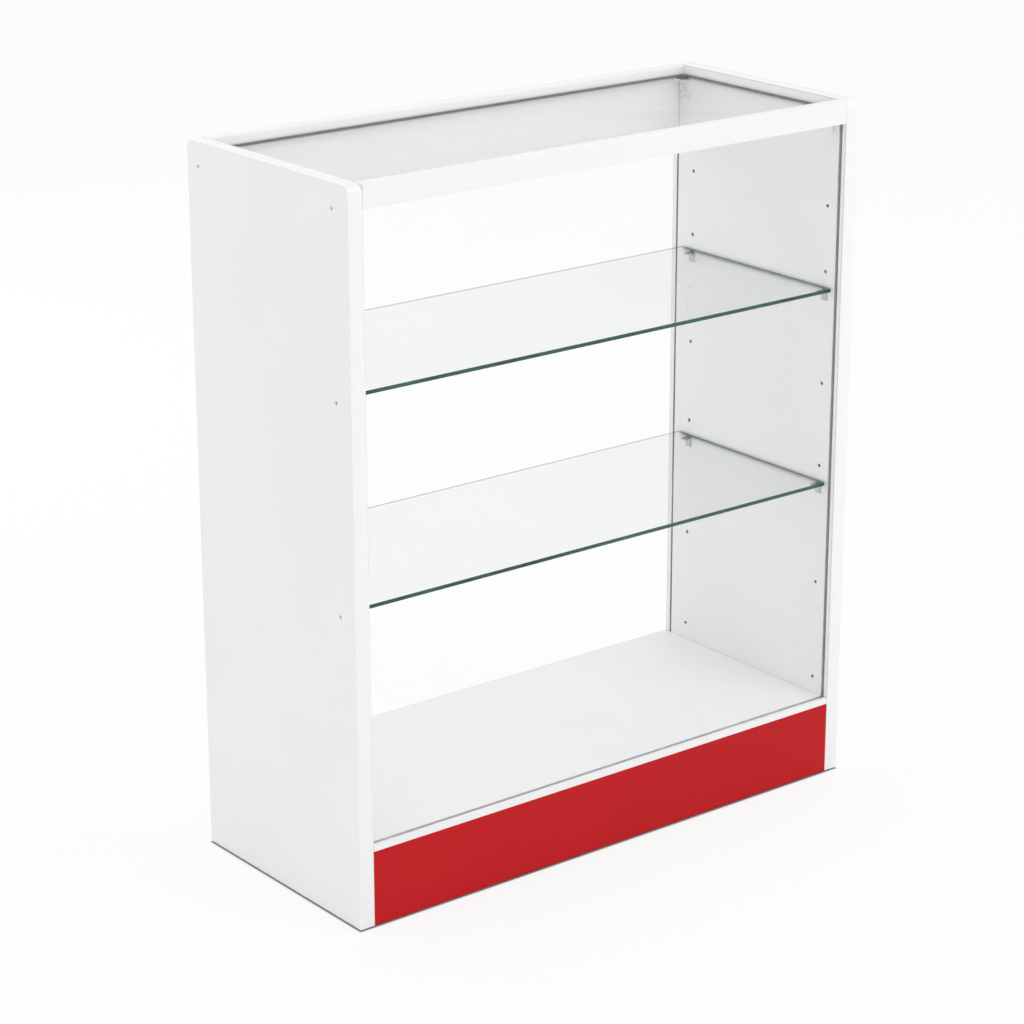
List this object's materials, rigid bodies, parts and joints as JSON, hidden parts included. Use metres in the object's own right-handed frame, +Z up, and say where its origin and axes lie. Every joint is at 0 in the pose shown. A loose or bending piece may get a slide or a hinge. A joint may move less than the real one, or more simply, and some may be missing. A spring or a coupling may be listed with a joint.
{
  "type": "display counter",
  "caption": "Free-standing glass-fronted shop display counter of white board with a red kick board, a lift-out glass top and glass shelves, open at the back.",
  "frame": {"origin": "middle of the footprint, on the ground", "axes": "+X to the right seen from the front, +Y towards the open back, +Z up"},
  "size_m": [0.82, 0.34, 0.95],
  "materials": {
    "white_board": "white melamine faced chipboard, fine satin texture",
    "white_edge": "white edge band, satin",
    "red_board": "red melamine faced chipboard, satin",
    "white_rail": "white wrapped rail, satin",
    "thin_board": "thin white lacquered fibreboard",
    "clear_glass": "clear toughened float glass with polished green edges",
    "channel_grey": "grey extruded glazing channel, matt",
    "zinc_steel": "bright zinc plated",
    "soft_pad": "translucent grey soft pad",
    "beech": "fluted beech, unfinished",
    "white_plastic": "moulded white plastic",
    "glide_plastic": "dark moulded plastic"
  },
  "bodies": {
    "root": {"side_panel_left": "white_board", "side_panel_right": "white_board", "edge_band_left": "white_edge", "edge_band_right": "white_edge", "floor_board": "white_board", "floor_edge_band_front": "white_edge", "floor_edge_band_rear": "white_edge", "kick_front": "red_board", "kick_rear": "white_board", "front_rail": "white_rail", "rear_rail": "white_rail", "rear_fascia": "thin_board", "glass_channel_left": "channel_grey", "glass_channel_right": "channel_grey", "glass_channel_bottom": "channel_grey", "glass_channel_top": "channel_grey", "front_glass": "clear_glass", "shelf_supports": "zinc_steel", "shelf_support_pads": "soft_pad", "shelf_lock_screws": "zinc_steel", "top_glass_brackets": "zinc_steel", "top_glass_pads": "soft_pad", "bracket_screws": "zinc_steel", "cams": "zinc_steel", "cam_bolts": "zinc_steel", "dowels": "beech", "rail_dowels": "beech", "corner_blocks": "white_plastic", "block_screws": "zinc_steel", "glides": "glide_plastic"},
    "top_glass": {"top_glass": "clear_glass"},
    "upper_shelf": {"upper_shelf": "clear_glass"},
    "lower_shelf": {"lower_shelf": "clear_glass"}
  },
  "joints": [
    {"name": "top_glass_lift", "type": "slide", "parent": "root", "child": "top_glass", "axis": [0, 0, 1], "range_m": [0, 0.12]},
    {"name": "upper_shelf_slide", "type": "slide", "parent": "root", "child": "upper_shelf", "axis": [0, 1, 0], "range_m": [-0.004, 0.32]},
    {"name": "lower_shelf_slide", "type": "slide", "parent": "root", "child": "lower_shelf", "axis": [0, 1, 0], "range_m": [-0.004, 0.32]}
  ]
}
